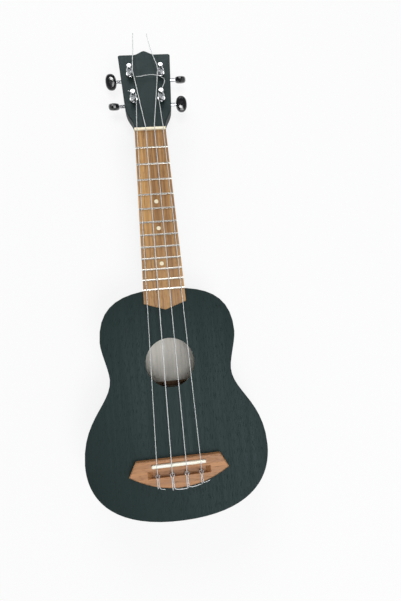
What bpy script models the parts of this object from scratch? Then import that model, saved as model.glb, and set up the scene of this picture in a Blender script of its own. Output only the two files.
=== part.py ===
"""Soprano ukulele as an assembly of separate pieces.

The instrument lies on its flat back. +Z points out of the soundboard, +Y runs towards the headstock,
+X is the first string's side. The origin is on the back's outer face, under the middle of the body.
Lengths are in metres and angles in degrees.
"""
import math

import bmesh
import bpy
import numpy as np
from mathutils import Euler, Matrix, Vector

# Strings and scale
SCALE_LENGTH = 0.345
SADDLE_SETBACK = 0.003
STRING_NAMES = ("g", "c", "e", "a")
STRING_DIAMETERS = {"g": 0.00070, "c": 0.00092, "e": 0.00082, "a": 0.00070}
STRING_SPREAD_AT_NUT = 0.028
STRING_SPREAD_AT_SADDLE = 0.0433
STRING_SIDES_RESOLUTION = 1
WINDING_STEPS = 24
WINDING_SPARE = 0.00050
FRET_COUNT = 12
DOTTED_FRETS = (5, 7, 10)

# Body outline: half widths, their stations along Y, and the reach of each curve's handles
NUT_Y = 0.290
BODY_TOP_Y = 0.1187
UPPER_BOUT_HALF = 0.0700
UPPER_BOUT_Y = 0.0681
WAIST_HALF = 0.0624
WAIST_Y = 0.0297
LOWER_BOUT_HALF = 0.0926
LOWER_BOUT_Y = -0.0509
BODY_END_Y = -0.1153
SHOULDER_REACH = 0.0430
UPPER_BOUT_RISE = 0.0398
UPPER_BOUT_FALL = 0.0098
WAIST_RISE = 0.0097
WAIST_FALL = 0.0238
LOWER_BOUT_RISE = 0.0441
LOWER_BOUT_FALL = 0.0335
BODY_END_REACH = 0.0700
OUTLINE_STEPS = (10, 6, 11, 17)

# Body walls and the frame inside
BODY_DEPTH = 0.060
SOUNDBOARD_THICKNESS = 0.0020
BACK_THICKNESS = 0.0022
SIDE_THICKNESS = 0.0018
PLATE_EDGE = 0.0006
SEAT_GAP = 0.0003
LINING_WIDTH = 0.0050
LINING_HEIGHT = 0.0080
LINING_TOE = 0.0022
NECK_BLOCK_WIDTH = 0.050
NECK_BLOCK_DEPTH = 0.022
TAIL_BLOCK_WIDTH = 0.044
TAIL_BLOCK_DEPTH = 0.012
SOUNDHOLE_RADIUS = 0.02525
SOUNDHOLE_Y = 0.0416
SOUNDHOLE_STEPS = 48
BRACE_WIDTH = 0.0050
BRACE_HEIGHT = 0.0080
BRACE_CROWN = 0.0012
BRACE_TIP_HEIGHT = 0.0030
BRACE_SCALLOP = 0.015
TOP_BRACE_CLEARANCE = 0.0060
BACK_BRACE_FRONT_Y = 0.0750
BACK_BRACE_HOLE_Y = 0.0155
BRIDGE_PLATE_WIDTH = 0.070
BRIDGE_PLATE_LENGTH = 0.032
BRIDGE_PLATE_THICKNESS = 0.0020

# Fretboard, frets and nut
BOARD_THICKNESS = 0.0047
BOARD_WIDTH_AT_NUT = 0.0334
BOARD_WIDTH_AT_12 = 0.0427
BOARD_PAST_12 = 0.0138
BOARD_POINT_PAST_12 = 0.0212
FRET_WIDTH = 0.0020
FRET_HEIGHT = 0.0009
TANG_WIDTH = 0.0005
TANG_DEPTH = 0.0016
DOT_RADIUS = 0.0022
DOT_THICKNESS = 0.0010
NUT_THICKNESS = 0.0035
NUT_RISE = 0.0022
NUT_SLOT_DEPTH = 0.0007

# Neck and headstock
NECK_DEPTH_AT_NUT = 0.0130
NECK_DEPTH_AT_HEEL = 0.0155
HEEL_START_Y = 0.150
HEEL_DEPTH = 0.0520
NECK_UNDER_HEAD = 0.0040
HEAD_ANGLE = 11.58
HEAD_LENGTH = 0.1033
HEAD_POINT = 0.1088
HEAD_POINT_HALF = 0.0115
HEAD_THICKNESS = 0.0120
HEAD_NECK_HALF = 0.0167
HEAD_SHOULDER_HALF = 0.0256
HEAD_SHOULDER_S = 0.031
HEAD_TIP_HALF = 0.0300
HEAD_CORNER = 0.0022
HEAD_EDGE = 0.0008
HEAD_RISE = 0.0010

# Bridge and saddle
BRIDGE_HEIGHT = 0.0075
BRIDGE_FRONT_Y = -0.0527
BRIDGE_FRONT_HALF = 0.0426
BRIDGE_CORNER = 0.0018
BRIDGE_TIP_HALF = 0.0496
BRIDGE_TIP_Y = -0.0662
BRIDGE_REAR_Y = -0.0810
BRIDGE_EDGE = 0.0009
CHANNEL_FRONT_Y = -0.0628
CHANNEL_REAR_Y = -0.0696
CHANNEL_HALF = 0.0265
CHANNEL_RAMP = 0.0050
CHANNEL_FLOOR = 0.0020
TIE_HOLE_HEIGHT = 0.0046
TIE_HOLE_RADIUS = 0.00085
TIE_HOLE_LEAD = 0.0002
SADDLE_LENGTH = 0.0534
SADDLE_THICKNESS = 0.0030
SADDLE_RISE = 0.0034
SADDLE_SLOT_DEPTH = 0.0045

# Tuners, in the headstock's own frame: s runs up the face and w stands out of it
POST_X = {"g": -0.01527, "c": -0.01726, "e": 0.01726, "a": 0.01527}
POST_S = {"g": 0.0390, "c": 0.0743, "e": 0.0743, "a": 0.0390}
BUTTON_TURN = {"g": 132.0, "c": 40.0, "e": 132.0, "a": 26.0}
POST_RADIUS = 0.0030
POST_WAIST_RADIUS = 0.00235
POST_CAP_RADIUS = 0.00275
POST_HEIGHT = 0.0132
POST_HOLE_RADIUS = 0.00075
POST_STEPS = 12
RUNNING_GAP = 0.0003
BUSHING_FLANGE_RADIUS = 0.0044
BUSHING_FLANGE_HEIGHT = 0.0012
BUSHING_WALL = 0.0006
BUSHING_LENGTH = 0.0080
BUSHING_RECESS = 0.0003
TUNER_PLATE_THICKNESS = 0.0010
TUNER_PLATE_WIDTH = 0.0112
TUNER_PLATE_FRONT = 0.0136
TUNER_PLATE_REAR = 0.0096
TUNER_PLATE_CORNER = 0.0030
PLATE_SCREW_RADIUS = 0.0013
GEAR_TEETH = 14
GEAR_PITCH_RADIUS = 0.0042
GEAR_WIDTH = 0.0032
TOOTH_ADDENDUM = 0.00048
TOOTH_DEDENDUM = 0.00062
TOOTH_SHARE = 0.36
WORM_PITCH_RADIUS = 0.0024
THREAD_ADDENDUM = 0.00045
THREAD_DEDENDUM = 0.00062
THREAD_SHARE = 0.30
THREAD_TURNS = 3.2
THREAD_STEPS = 10
EAR_THICKNESS = 0.0012
EAR_INNER = 0.0040
EAR_HALF_WIDTH = 0.0026
JOURNAL_RADIUS = 0.00145
STEM_RADIUS = 0.0021
STEM_END = 0.0166
STEM_TIP = 0.0230
BUTTON_LENGTH = 0.0128
BUTTON_WIDTH = 0.0178
BUTTON_THICKNESS = 0.0080
BUTTON_STEPS = 20

# Heights and places that follow from the sizes above
SOUNDBOARD_TOP = BODY_DEPTH
SOUNDBOARD_BOTTOM = BODY_DEPTH - SOUNDBOARD_THICKNESS
SIDE_LOW = BACK_THICKNESS + SEAT_GAP
SIDE_HIGH = SOUNDBOARD_BOTTOM - SEAT_GAP
BOARD_BOTTOM = SOUNDBOARD_TOP + SEAT_GAP
BOARD_TOP = BOARD_BOTTOM + BOARD_THICKNESS
FRET_12_Y = NUT_Y - SCALE_LENGTH / 2
NUT_BACK_Y = NUT_Y + NUT_THICKNESS
NUT_TOP = BOARD_TOP + NUT_RISE
NUT_SLOT_FLOOR = NUT_TOP - NUT_SLOT_DEPTH
HEAD_ORIGIN = Vector((0.0, NUT_BACK_Y + SEAT_GAP + NUT_SLOT_DEPTH * 0.3, SOUNDBOARD_TOP + HEAD_RISE))
HEAD_TILT = math.radians(HEAD_ANGLE)
BRIDGE_BOTTOM = SOUNDBOARD_TOP + SEAT_GAP
BRIDGE_TOP = BRIDGE_BOTTOM + BRIDGE_HEIGHT
SADDLE_Y = NUT_Y - SCALE_LENGTH - SADDLE_SETBACK
SADDLE_TOP = BRIDGE_TOP + SADDLE_RISE
TIE_HOLE_Z = BRIDGE_BOTTOM + TIE_HOLE_HEIGHT
FLANGE_TOP = SEAT_GAP + BUSHING_FLANGE_HEIGHT
BORE_RADIUS = POST_RADIUS + RUNNING_GAP
BUSHING_BARREL_RADIUS = BORE_RADIUS + BUSHING_WALL
HEAD_HOLE_RADIUS = BUSHING_BARREL_RADIUS + SEAT_GAP
TUNER_PLATE_TOP = -HEAD_THICKNESS - SEAT_GAP
TUNER_PLATE_BOTTOM = TUNER_PLATE_TOP - TUNER_PLATE_THICKNESS
WORM_RADIUS = WORM_PITCH_RADIUS + THREAD_ADDENDUM
WORM_CORE_RADIUS = WORM_PITCH_RADIUS - THREAD_DEDENDUM
WORM_AXIS_W = TUNER_PLATE_BOTTOM - WORM_RADIUS - RUNNING_GAP * 1.5
CENTRE_DISTANCE = GEAR_PITCH_RADIUS + WORM_PITCH_RADIUS
THREAD_LEAD = 2 * math.pi * GEAR_PITCH_RADIUS / GEAR_TEETH
GEAR_LOW = WORM_AXIS_W - GEAR_WIDTH / 2
GEAR_HIGH = WORM_AXIS_W + GEAR_WIDTH / 2
EAR_OUTER = EAR_INNER + EAR_THICKNESS

# Finishes: colour, roughness and metallic value
FINISHES = {
    "black_stained_wood": ((0.020, 0.032, 0.028), 0.42, 0.0),
    "bare_pale_wood": ((0.80, 0.72, 0.58), 0.65, 0.0),
    "brown_wood": ((0.22, 0.11, 0.05), 0.60, 0.0),
    "walnut_board": ((0.36, 0.18, 0.08), 0.45, 0.0),
    "bridge_wood": ((0.42, 0.21, 0.10), 0.45, 0.0),
    "bone": ((0.92, 0.86, 0.68), 0.30, 0.0),
    "fret_metal": ((0.80, 0.78, 0.72), 0.25, 1.0),
    "clear_nylon": ((0.78, 0.80, 0.80), 0.25, 0.0),
    "chrome": ((0.80, 0.80, 0.82), 0.12, 1.0),
    "black_button": ((0.010, 0.010, 0.012), 0.12, 0.0),
}


def clear_scene():
    """Remove every object of the open scene."""
    for item in list(bpy.data.objects):
        bpy.data.objects.remove(item, do_unlink=True)


def finish(name):
    """Return the named finish, made on first use."""
    found = bpy.data.materials.get(name)
    if found:
        return found
    colour, roughness, metallic = FINISHES[name]
    made = bpy.data.materials.new(name)
    made.use_nodes = True
    shader = made.node_tree.nodes["Principled BSDF"]
    shader.inputs["Base Color"].default_value = (*colour, 1.0)
    shader.inputs["Roughness"].default_value = roughness
    shader.inputs["Metallic"].default_value = metallic
    return made


def add_object(name, form, finish_name, parent=None, location=(0, 0, 0), rotation=(0, 0, 0), smooth=30.0):
    """Link a mesh form into the scene as a named object."""
    bmesh.ops.recalc_face_normals(form, faces=form.faces)
    if form.calc_volume(signed=True) < 0:
        bmesh.ops.reverse_faces(form, faces=form.faces)
    mesh = bpy.data.meshes.new(name)
    form.to_mesh(mesh)
    form.free()
    mesh.shade_smooth()
    mesh.set_sharp_from_angle(angle=math.radians(smooth))
    made = bpy.data.objects.new(name, mesh)
    made.data.materials.append(finish(finish_name))
    made.location = location
    made.rotation_euler = Euler([math.radians(turn) for turn in rotation])
    made.parent = parent
    bpy.context.collection.objects.link(made)
    return made


def add_guide(name, form, parent=None, location=(0, 0, 0), rotation=(0, 0, 0)):
    """Link a form that only shapes others, so it is drawn as wire and never rendered."""
    guide = add_object(name, form, "bare_pale_wood", parent, location, rotation)
    guide.hide_render = True
    guide.display_type = "WIRE"
    return guide


def combine(target, guide, operation):
    """Cut a guide out of an object or fuse it on."""
    modifier = target.modifiers.new(f"{operation.lower()}_{guide.name}", "BOOLEAN")
    modifier.operation = operation
    modifier.solver = "EXACT"
    modifier.object = guide


def loft(rings):
    """Skin a closed solid through rings of equal point counts, capped at both ends."""
    form = bmesh.new()
    rows = [[form.verts.new(point) for point in ring] for ring in rings]
    count = len(rows[0])
    for lower, upper in zip(rows, rows[1:]):
        for index in range(count):
            after = (index + 1) % count
            form.faces.new((lower[index], lower[after], upper[after], upper[index]))
    form.faces.new(rows[0])
    form.faces.new(rows[-1])
    return form


def turned(profile, steps, bored=False):
    """Turn a profile of (radius, height) about Z; a bored one closes on itself round its hole."""
    rings = []
    for radius, height in profile:
        angles = [2 * math.pi * step / steps for step in range(steps)]
        rings.append([(radius * math.cos(angle), radius * math.sin(angle), height) for angle in angles])
    if not bored:
        return loft(rings)
    form = bmesh.new()
    rows = [[form.verts.new(point) for point in ring] for ring in rings]
    for lower, upper in zip(rows, rows[1:] + rows[:1]):
        for index in range(steps):
            after = (index + 1) % steps
            form.faces.new((lower[index], lower[after], upper[after], upper[index]))
    return form


def block(low, high):
    """A box between two corners."""
    corners = [(low[0], low[1]), (high[0], low[1]), (high[0], high[1]), (low[0], high[1])]
    return loft([[(x, y, z) for x, y in corners] for z in (low[2], high[2])])


def gather(forms):
    """Put several separate forms into one, for a guide that cuts in many places."""
    whole = bmesh.new()
    for form in forms:
        mesh = bpy.data.meshes.new("gathered")
        form.to_mesh(mesh)
        form.free()
        whole.from_mesh(mesh)
        bpy.data.meshes.remove(mesh)
    return whole


def inset(outline, distance):
    """Move a closed outline, counter-clockwise, inwards by a distance."""
    moved = []
    count = len(outline)
    for index, (x, y) in enumerate(outline):
        before = outline[index - 1]
        after = outline[(index + 1) % count]
        first = Vector((before[1] - y, x - before[0])).normalized()
        second = Vector((y - after[1], after[0] - x)).normalized()
        middle = (first + second).normalized()
        reach = distance / max(0.3, middle.dot(first))
        moved.append((x + middle.x * reach, y + middle.y * reach))
    return moved


def slab(outline, low, high, edge_low=0.0, edge_high=0.0):
    """A flat plate over an outline, with its edges eased by small chamfers."""
    rings = []
    if edge_low:
        rings.append([(x, y, low) for x, y in inset(outline, edge_low)])
        rings.append([(x, y, low + edge_low) for x, y in outline])
    else:
        rings.append([(x, y, low) for x, y in outline])
    if edge_high:
        rings.append([(x, y, high - edge_high) for x, y in outline])
        rings.append([(x, y, high) for x, y in inset(outline, edge_high)])
    else:
        rings.append([(x, y, high) for x, y in outline])
    return loft(rings)


def rounded_corner(before, corner, after, radius, steps=4):
    """Points of an arc that rounds one corner of an outline."""
    corner = Vector(corner)
    to_before = (Vector(before) - corner).normalized()
    to_after = (Vector(after) - corner).normalized()
    half = to_before.angle(to_after) / 2
    reach = radius / math.tan(half)
    centre = corner + (to_before + to_after).normalized() * (radius / math.sin(half))
    start = corner + to_before * reach - centre
    end = corner + to_after * reach - centre
    turn = start.angle(end)
    sign = 1 if start.x * end.y - start.y * end.x > 0 else -1
    points = []
    for step in range(steps + 1):
        angle = sign * turn * step / steps
        x = start.x * math.cos(angle) - start.y * math.sin(angle)
        y = start.x * math.sin(angle) + start.y * math.cos(angle)
        points.append((centre.x + x, centre.y + y))
    return points


def bezier(start, first, second, end, steps):
    """Points of one cubic span, without its last one."""
    points = []
    for step in range(steps):
        t = step / steps
        weights = ((1 - t) ** 3, 3 * (1 - t) ** 2 * t, 3 * (1 - t) * t * t, t ** 3)
        points.append(tuple(sum(w * p[axis] for w, p in zip(weights, (start, first, second, end)))
                            for axis in range(2)))
    return points


def half_outline():
    """The treble half of the body's outline, from the middle of the top to the middle of the end."""
    top, bout = (0.0, BODY_TOP_Y), (UPPER_BOUT_HALF, UPPER_BOUT_Y)
    waist, lower = (WAIST_HALF, WAIST_Y), (LOWER_BOUT_HALF, LOWER_BOUT_Y)
    end = (0.0, BODY_END_Y)
    points = bezier(top, (SHOULDER_REACH, BODY_TOP_Y), (bout[0], bout[1] + UPPER_BOUT_RISE), bout,
                    OUTLINE_STEPS[0])
    points += bezier(bout, (bout[0], bout[1] - UPPER_BOUT_FALL), (waist[0], waist[1] + WAIST_RISE), waist,
                     OUTLINE_STEPS[1])
    points += bezier(waist, (waist[0], waist[1] - WAIST_FALL), (lower[0], lower[1] + LOWER_BOUT_RISE), lower,
                     OUTLINE_STEPS[2])
    points += bezier(lower, (lower[0], lower[1] - LOWER_BOUT_FALL), (BODY_END_REACH, BODY_END_Y), end,
                     OUTLINE_STEPS[3])
    return points + [end]


def body_outline():
    """The whole outline, counter-clockwise from the middle of the top."""
    treble = half_outline()
    bass = [(-x, y) for x, y in treble]
    return bass + treble[-2:0:-1]


def wall_path(distance, start_x, end_x):
    """The treble half of the outline set in by a distance, cut where it passes two half widths."""
    whole = inset(body_outline(), distance)
    count = len(half_outline())
    path = [(-x, y) for x, y in whole[:count]]
    path[0] = (0.0, path[0][1])
    path[-1] = (0.0, path[-1][1])
    first = next(index for index, point in enumerate(path) if point[0] > start_x)
    last = len(path) - 1 - next(index for index, point in enumerate(reversed(path)) if point[0] > end_x)
    return ([crossing(path[first - 1], path[first], start_x)] + path[first:last + 1]
            + [crossing(path[last], path[last + 1], end_x)])


def crossing(first, second, x):
    """The point at x on the line between two points."""
    share = (x - first[0]) / (second[0] - first[0])
    return (x, first[1] + share * (second[1] - first[1]))


def half_width_at(distance, y):
    """Half the width at y inside the outline set in by a distance."""
    path = wall_path(distance, 0.0001, 0.0001)
    for first, second in zip(path, path[1:]):
        if first[1] >= y >= second[1]:
            share = (first[1] - y) / max(first[1] - second[1], 1e-9)
            return first[0] + share * (second[0] - first[0])
    raise ValueError("that station is outside the body")


def build_plates():
    """The soundboard with its round hole, and the back."""
    outline = body_outline()
    board = add_object("soundboard", slab(outline, SOUNDBOARD_BOTTOM, SOUNDBOARD_TOP, 0.0, PLATE_EDGE),
                       "black_stained_wood")
    hole = turned([(SOUNDHOLE_RADIUS, -SOUNDBOARD_THICKNESS * 2), (SOUNDHOLE_RADIUS, SOUNDBOARD_THICKNESS * 2)],
                  SOUNDHOLE_STEPS)
    combine(board, add_guide("soundhole_cutter", hole, location=(0, SOUNDHOLE_Y, SOUNDBOARD_TOP)), "DIFFERENCE")
    add_object("back", slab(outline, 0.0, BACK_THICKNESS, PLATE_EDGE, 0.0), "black_stained_wood")


def strip(outer, inner, low, high, inner_low=None, inner_high=None):
    """A bent strip between two paths, whose inner edge may be lower than its outer one."""
    inner_low = low if inner_low is None else inner_low
    inner_high = high if inner_high is None else inner_high
    rings = []
    for (x1, y1), (x2, y2) in zip(outer, inner):
        rings.append([(x1, y1, low), (x1, y1, high), (x2, y2, inner_high), (x2, y2, inner_low)])
    return loft(rings)


def mirrored(form):
    """The same form on the other side of the centre line."""
    bmesh.ops.scale(form, vec=(-1, 1, 1), verts=form.verts)
    return form


def build_sides():
    """Two bent sides that meet on the centre line, with the linings glued along their edges."""
    seam = SEAT_GAP / 2
    lining_start = NECK_BLOCK_WIDTH / 2 + SEAT_GAP
    lining_end = TAIL_BLOCK_WIDTH / 2 + SEAT_GAP
    lining_out = SIDE_THICKNESS + SEAT_GAP
    for name, turn in (("treble", lambda form: form), ("bass", mirrored)):
        outer = wall_path(0.0, seam, seam)
        inner = wall_path(SIDE_THICKNESS, seam, seam)
        inner = matched(outer, inner)
        add_object(f"side_{name}", turn(strip(outer, inner, SIDE_LOW, SIDE_HIGH)), "black_stained_wood")
        outer = wall_path(lining_out, lining_start, lining_end)
        inner = matched(outer, wall_path(lining_out + LINING_WIDTH, lining_start, lining_end))
        top_low = SIDE_HIGH - LINING_HEIGHT
        add_object(f"top_lining_{name}",
                   turn(strip(outer, inner, top_low, SIDE_HIGH, SIDE_HIGH - LINING_TOE, SIDE_HIGH)),
                   "bare_pale_wood")
        back_high = SIDE_LOW + LINING_HEIGHT
        add_object(f"back_lining_{name}",
                   turn(strip(outer, inner, SIDE_LOW, back_high, SIDE_LOW, SIDE_LOW + LINING_TOE)),
                   "bare_pale_wood")


def matched(outer, inner):
    """Read the inner path at as many points as the outer one, at equal shares of its length."""
    def lengths(path):
        total = [0.0]
        for first, second in zip(path, path[1:]):
            total.append(total[-1] + math.dist(first, second))
        return [value / total[-1] for value in total]
    wanted, known = lengths(outer), lengths(inner)
    return list(zip(np.interp(wanted, known, [p[0] for p in inner]).tolist(),
                    np.interp(wanted, known, [p[1] for p in inner]).tolist()))


def end_block(width, depth, at_top):
    """The outline of a block that fills the body's end and follows the bent side."""
    path = wall_path(SIDE_THICKNESS + SEAT_GAP, 0.0001, 0.0001)
    path = path if at_top else path[::-1]
    last = next(index for index, point in enumerate(path) if point[0] >= width / 2)
    half = path[:last] + [crossing(path[last - 1], path[last], width / 2)]
    deep = half[0][1] - depth if at_top else half[0][1] + depth
    curve = [(-x, y) for x, y in reversed(half)] + half
    return curve + [(width / 2, deep), (-width / 2, deep)]


def build_blocks():
    """The neck block and the tail block, which join the two sides."""
    for name, width, depth, at_top in (("neck_block", NECK_BLOCK_WIDTH, NECK_BLOCK_DEPTH, True),
                                       ("tail_block", TAIL_BLOCK_WIDTH, TAIL_BLOCK_DEPTH, False)):
        outline = end_block(width, depth, at_top)
        form = loft([[(x, y, z) for x, y in outline] for z in (SIDE_LOW, SIDE_HIGH)])
        add_object(name, form, "bare_pale_wood")


def brace(y, seat, direction):
    """A crosswise bar with a crowned top and thin tips, glued at a height and standing up or down."""
    reach = SIDE_THICKNESS + 3 * SEAT_GAP + LINING_WIDTH
    half = min(half_width_at(reach, y - BRACE_WIDTH / 2), half_width_at(reach, y + BRACE_WIDTH / 2))
    rings = []
    for x, tall in ((-half, BRACE_TIP_HEIGHT), (-half + BRACE_SCALLOP, BRACE_HEIGHT - BRACE_CROWN),
                    (0.0, BRACE_HEIGHT - BRACE_CROWN),
                    (half - BRACE_SCALLOP, BRACE_HEIGHT - BRACE_CROWN), (half, BRACE_TIP_HEIGHT)):
        crown = BRACE_CROWN * tall / BRACE_HEIGHT
        shape = ((-BRACE_WIDTH / 2, 0.0), (BRACE_WIDTH / 2, 0.0), (BRACE_WIDTH / 2, tall - crown),
                 (BRACE_WIDTH / 4, tall + crown), (-BRACE_WIDTH / 4, tall + crown),
                 (-BRACE_WIDTH / 2, tall - crown))
        rings.append([(x, y + across, seat + direction * up) for across, up in shape])
    return loft(rings)


def build_braces():
    """The bars under the soundboard and on the back, and the patch under the bridge."""
    hole_reach = SOUNDHOLE_RADIUS + TOP_BRACE_CLEARANCE + BRACE_WIDTH / 2
    add_object("soundboard_brace_front", brace(SOUNDHOLE_Y + hole_reach, SIDE_HIGH, -1), "bare_pale_wood")
    add_object("soundboard_brace_rear", brace(SOUNDHOLE_Y - hole_reach, SIDE_HIGH, -1), "bare_pale_wood")
    add_object("back_brace_front", brace(BACK_BRACE_FRONT_Y, SIDE_LOW, 1), "brown_wood")
    add_object("back_brace_rear", brace(BACK_BRACE_HOLE_Y, SIDE_LOW, 1), "brown_wood")
    middle = (BRIDGE_FRONT_Y + BRIDGE_REAR_Y) / 2
    low = (-BRIDGE_PLATE_WIDTH / 2, middle - BRIDGE_PLATE_LENGTH / 2, SIDE_HIGH - BRIDGE_PLATE_THICKNESS)
    high = (BRIDGE_PLATE_WIDTH / 2, middle + BRIDGE_PLATE_LENGTH / 2, SIDE_HIGH)
    add_object("bridge_plate", block(low, high), "bare_pale_wood")


def board_half_width(y):
    """Half the fretboard's width at a place along it."""
    growth = (BOARD_WIDTH_AT_12 - BOARD_WIDTH_AT_NUT) / (SCALE_LENGTH / 2)
    return (BOARD_WIDTH_AT_NUT + growth * (NUT_Y - y)) / 2


def fret_y(number):
    """The place of a fret, from the equal-tempered rule."""
    return NUT_Y - SCALE_LENGTH * (1 - 2 ** (-number / 12))


def dot_y(number):
    """The place of a position dot, midway between a fret and the one before it."""
    return (fret_y(number) + fret_y(number - 1)) / 2


def build_fretboard():
    """The fretboard with its slots and dot pockets, the frets and the dots."""
    front, corner = NUT_Y - SEAT_GAP, FRET_12_Y - BOARD_PAST_12
    point = FRET_12_Y - BOARD_POINT_PAST_12
    outline = [(-board_half_width(corner), corner), (0.0, point), (board_half_width(corner), corner),
               (board_half_width(front), front), (-board_half_width(front), front)]
    board = add_object("fretboard", slab(outline, BOARD_BOTTOM, BOARD_TOP), "walnut_board")
    cuts = []
    for number in range(1, FRET_COUNT + 1):
        y = fret_y(number)
        half = board_half_width(y)
        slot = TANG_WIDTH / 2 + SEAT_GAP
        cuts.append(block((-half * 2, y - slot, BOARD_TOP - TANG_DEPTH - SEAT_GAP),
                          (half * 2, y + slot, BOARD_TOP + BOARD_THICKNESS)))
        add_object(f"fret_{number}", fret(y, half), "fret_metal")
    for number in DOTTED_FRETS:
        y = dot_y(number)
        pocket = turned([(DOT_RADIUS + SEAT_GAP, BOARD_TOP - DOT_THICKNESS - SEAT_GAP),
                         (DOT_RADIUS + SEAT_GAP, BOARD_TOP + DOT_THICKNESS)], 20)
        bmesh.ops.translate(pocket, verts=pocket.verts, vec=(0, y, 0))
        cuts.append(pocket)
        dot = turned([(DOT_RADIUS, BOARD_TOP - DOT_THICKNESS), (DOT_RADIUS, BOARD_TOP)], 20)
        add_object(f"dot_{number}", dot, "bone", location=(0, y, 0))
    combine(board, add_guide("board_cutter", gather(cuts)), "DIFFERENCE")


def fret(y, half):
    """A fret wire: a low crown over a thin tang that stands in its slot."""
    seat = BOARD_TOP + SEAT_GAP
    crown = [(FRET_WIDTH / 2 * math.cos(turn), seat + FRET_HEIGHT * math.sin(turn))
             for turn in (math.radians(degree) for degree in (0, 36, 72, 108, 144, 180))]
    tang = [(-TANG_WIDTH / 2, seat), (-TANG_WIDTH / 2, BOARD_TOP - TANG_DEPTH),
            (TANG_WIDTH / 2, BOARD_TOP - TANG_DEPTH), (TANG_WIDTH / 2, seat)]
    return loft([[(x, y + across, up) for across, up in crown + tang] for x in (-half, half)])


def string_x(name, spread):
    """Where a string crosses the nut or the saddle, for a spread between the outer two."""
    index = STRING_NAMES.index(name)
    return spread * (index / (len(STRING_NAMES) - 1) - 0.5)


def build_nut():
    """The nut, with a rounded top and a slot for each string."""
    half = BOARD_WIDTH_AT_NUT / 2
    profile = [(NUT_Y, BOARD_BOTTOM), (NUT_BACK_Y, BOARD_BOTTOM), (NUT_BACK_Y, NUT_TOP - 0.0016),
               (NUT_BACK_Y - 0.0008, NUT_TOP - 0.0005), (NUT_Y + 0.0012, NUT_TOP), (NUT_Y, NUT_TOP - 0.0003)]
    nut = add_object("nut", loft([[(x, y, z) for y, z in profile] for x in (-half, half)]), "bone")
    cuts = []
    for name in STRING_NAMES:
        x = string_x(name, STRING_SPREAD_AT_NUT)
        reach = STRING_DIAMETERS[name] / 2 + SEAT_GAP
        cuts.append(block((x - reach, NUT_Y - NUT_THICKNESS, NUT_SLOT_FLOOR),
                          (x + reach, NUT_BACK_Y + NUT_THICKNESS, NUT_TOP + NUT_THICKNESS)))
    combine(nut, add_guide("nut_cutter", gather(cuts)), "DIFFERENCE")


def neck_section(y, depth):
    """A flat-topped half ellipse, the neck's section at a place along it."""
    half = board_half_width(min(y, NUT_Y))
    steps = 12
    points = []
    for step in range(steps + 1):
        angle = math.pi * step / steps
        points.append((half * math.cos(angle), y, SOUNDBOARD_TOP - depth * math.sin(angle)))
    return points


def neck_depth(y):
    """How deep the neck is at a place along it: a slow swell, then the heel's sweep."""
    share = (NUT_Y - y) / (NUT_Y - HEEL_START_Y)
    if share < 1:
        return NECK_DEPTH_AT_NUT + (NECK_DEPTH_AT_HEEL - NECK_DEPTH_AT_NUT) * max(share, 0.0)
    heel_face = BODY_TOP_Y + SEAT_GAP
    sweep = min((HEEL_START_Y - y) / (HEEL_START_Y - heel_face), 1.0)
    return NECK_DEPTH_AT_HEEL + (HEEL_DEPTH - NECK_DEPTH_AT_HEEL) * (1 - math.sqrt(1 - sweep ** 2))


def head_outline():
    """The headstock's outline, counter-clockwise: waisted at the nut, flared, with a low peak on top."""
    curve = bezier((HEAD_NECK_HALF, 0.0), (HEAD_NECK_HALF, 0.0135), (HEAD_SHOULDER_HALF - 0.0012, 0.0155),
                   (HEAD_SHOULDER_HALF, HEAD_SHOULDER_S), 9)
    side = curve + [(HEAD_SHOULDER_HALF, HEAD_SHOULDER_S)]
    corner = (HEAD_TIP_HALF, HEAD_LENGTH)
    side += rounded_corner(side[-1], corner, (0.0, HEAD_LENGTH), HEAD_CORNER)
    rise = HEAD_POINT - HEAD_LENGTH
    peak = bezier((HEAD_POINT_HALF, HEAD_LENGTH), (HEAD_POINT_HALF * 0.62, HEAD_LENGTH + rise * 0.12),
                  (HEAD_POINT_HALF * 0.28, HEAD_POINT - rise * 0.02), (0.0, HEAD_POINT), 6)
    side += peak
    return side + [(0.0, HEAD_POINT)] + [(-x, s) for x, s in reversed(side)]


def build_neck(head_frame):
    """The neck, whose heel meets the body and whose headstock is one piece with it."""
    heel_face = BODY_TOP_Y + SEAT_GAP
    stations = [HEAD_ORIGIN.y + NECK_UNDER_HEAD, NUT_Y, 0.245, 0.20, HEEL_START_Y]
    sweep = HEEL_START_Y - heel_face
    stations += [HEEL_START_Y - sweep * math.sin(math.radians(turn)) for turn in (14, 28, 42, 54, 65, 75, 83, 90)]
    neck = add_object("neck", loft([neck_section(y, neck_depth(y)) for y in stations]), "black_stained_wood")
    head = add_guide("head_form", slab(head_outline(), -HEAD_THICKNESS, 0.0, HEAD_EDGE, HEAD_EDGE), head_frame)
    combine(neck, head, "UNION")
    holes = []
    for name in STRING_NAMES:
        recess = BUSHING_FLANGE_RADIUS + SEAT_GAP
        hole = turned([(HEAD_HOLE_RADIUS, -HEAD_THICKNESS * 1.5), (HEAD_HOLE_RADIUS, -BUSHING_RECESS),
                       (recess, -BUSHING_RECESS), (recess, HEAD_THICKNESS / 2)], 20)
        bmesh.ops.translate(hole, verts=hole.verts, vec=(POST_X[name], POST_S[name], 0))
        holes.append(hole)
    combine(neck, add_guide("post_hole_cutter", gather(holes), head_frame), "DIFFERENCE")


def bridge_rear(x):
    """The bridge's rear edge, a shallow curve between its two tips."""
    return BRIDGE_REAR_Y + (BRIDGE_TIP_Y - BRIDGE_REAR_Y) * (x / BRIDGE_TIP_HALF) ** 2


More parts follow.
